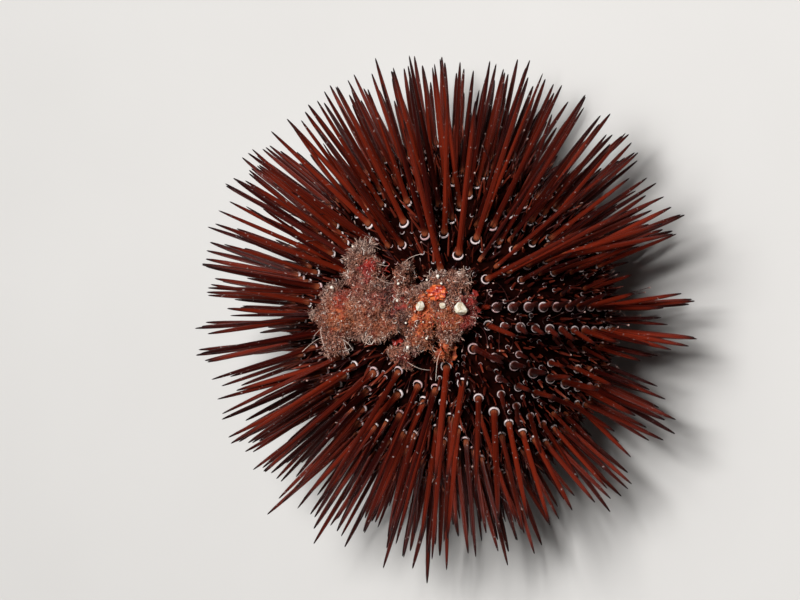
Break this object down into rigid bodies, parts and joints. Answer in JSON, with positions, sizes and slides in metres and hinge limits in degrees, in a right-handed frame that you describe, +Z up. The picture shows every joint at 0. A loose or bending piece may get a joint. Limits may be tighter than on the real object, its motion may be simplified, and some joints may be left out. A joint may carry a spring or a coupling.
{
  "type": "rock sea urchin",
  "caption": "Still life-size rock sea urchin on its oral side, spines spread, with a clump of alga and bits of shell held on its back.",
  "frame": {"origin": "on the floor, under the middle of the whole animal's box", "axes": "+Z up along the animal's own axis from mouth to apex, +X towards the side that the picture looks onto, +Y the picture's upward direction"},
  "size_m": [0.085, 0.0802, 0.0536],
  "materials": {
    "test_and_spines": "glossy dark red-brown calcite spines on a dark purple-brown test",
    "apical_disc": "dull dark plates",
    "mouth": "moist brown skin with pale teeth",
    "alga": "wet fuzzy pink-beige filaments",
    "crust": "orange-red crust",
    "shell": "worn off-white shell"
  },
  "bodies": {
    "root": {"ambulacrum_1": "test_and_spines", "ambulacrum_2": "test_and_spines", "ambulacrum_3": "test_and_spines", "ambulacrum_4": "test_and_spines", "ambulacrum_5": "test_and_spines", "interambulacrum_1": "test_and_spines", "interambulacrum_2": "test_and_spines", "interambulacrum_3": "test_and_spines", "interambulacrum_4": "test_and_spines", "interambulacrum_5": "test_and_spines", "apical_disc": "apical_disc", "mouth": "mouth", "cover_alga": "alga", "cover_crust": "crust", "cover_shell_1": "shell", "cover_shell_2": "shell", "cover_shell_3": "shell"}
  },
  "joints": []
}
